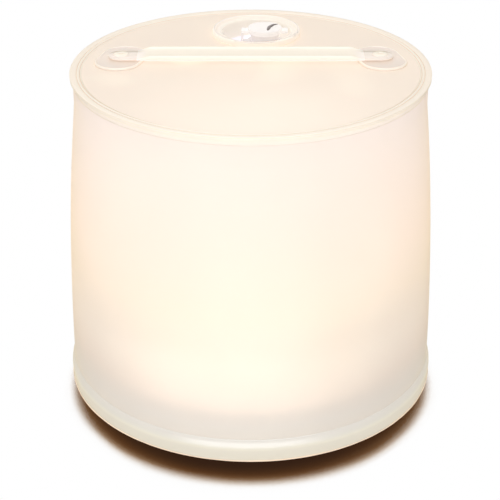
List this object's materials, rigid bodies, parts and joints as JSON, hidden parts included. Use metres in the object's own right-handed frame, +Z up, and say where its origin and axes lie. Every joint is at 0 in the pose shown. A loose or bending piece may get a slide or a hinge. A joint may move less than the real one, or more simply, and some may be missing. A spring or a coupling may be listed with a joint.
{
  "type": "camping lantern",
  "caption": "Inflatable solar camping lantern: a frosted film drum with a carry strap and air valve on top of a flat sealed light unit.",
  "frame": {"origin": "on the ground under the middle of the light unit", "axes": "+Z up along the drum's axis, -Y towards the front, with the air valve at +Y"},
  "size_m": [0.13, 0.13, 0.125],
  "materials": {
    "frosted_film": "frosted translucent film",
    "weld": "pressed weld, glossy",
    "strap_film": "soft translucent strap",
    "clear_pvc": "clear flexible moulding",
    "case": "satin grey-white",
    "housing": "translucent white",
    "lens": "diffusing",
    "window": "clear, polished",
    "solar": "dark blue cells",
    "board": "white solder mask",
    "board_green": "green solder mask",
    "electronics": "moulded black",
    "button": "soft touch",
    "battery_wrap": "foil pouch",
    "foam": "foam",
    "seal": "silicone",
    "lead": "insulated wire",
    "steel": "zinc plated",
    "lamp": "lamp package"
  },
  "bodies": {
    "light_unit": {"lower_case": "case", "solar_window": "window", "solar_cells": "solar", "solar_backing": "board", "solar_leads": "lead", "seal_ring": "seal", "case_screws": "steel", "bottom_film": "frosted_film", "lower_weld_band": "weld", "upper_housing": "housing", "top_lens": "lens", "battery": "battery_wrap", "battery_foam": "foam", "battery_leads": "lead", "battery_socket": "board", "control_board": "board_green", "control_chips": "electronics", "control_screws": "steel", "button_switches": "electronics", "charge_lights": "lamp", "light_pipes": "window", "led_board": "board", "led_screws": "steel", "led_lamps": "lamp", "reflector_sheet": "board", "led_leads": "lead", "side_wall": "frosted_film", "wall_seam": "weld"},
    "drum_top": {"top_film": "frosted_film", "top_rim": "weld", "upper_weld_band": "weld", "left_pad": "strap_film", "right_pad": "strap_film", "strap_studs": "weld", "valve_flange": "clear_pvc"},
    "strap": {"carry_strap": "strap_film"},
    "stem": {"valve_stem": "clear_pvc", "cap_tether": "clear_pvc"},
    "flap": {"valve_flap": "clear_pvc"},
    "cap": {"valve_cap": "clear_pvc"},
    "power": {"power_button": "button"},
    "charge": {"charge_button": "button"}
  },
  "joints": [
    {"name": "drum_collapse", "type": "slide", "parent": "light_unit", "child": "drum_top", "axis": [0, 0, -1], "range_m": [0, 0.082], "deforming": ["side_wall", "wall_seam"]},
    {"name": "strap_lift", "type": "slide", "parent": "drum_top", "child": "strap", "axis": [0, 0, 1], "range_m": [0, 0.008]},
    {"name": "stem_pull", "type": "slide", "parent": "drum_top", "child": "stem", "axis": [0, 0, 1], "range_m": [0, 0.0047]},
    {"name": "flap_open", "type": "hinge", "parent": "stem", "child": "flap", "pos_m": [0.0004, 0.035, 0.1105], "axis": [0, 1, 0], "range_deg": [0, 25], "stiffness_Nm_per_rad": 0.0001},
    {"name": "cap_open", "type": "hinge", "parent": "stem", "child": "cap", "pos_m": [-0.0035, 0.035, 0.1226], "axis": [0, -1, 0], "range_deg": [0, 140]},
    {"name": "power_press", "type": "slide", "parent": "light_unit", "child": "power", "axis": [0, 0, 1], "range_m": [0, 0.0004], "stiffness_N_per_m": 800},
    {"name": "charge_press", "type": "slide", "parent": "light_unit", "child": "charge", "axis": [0, 0, 1], "range_m": [0, 0.0004], "stiffness_N_per_m": 800}
  ]
}
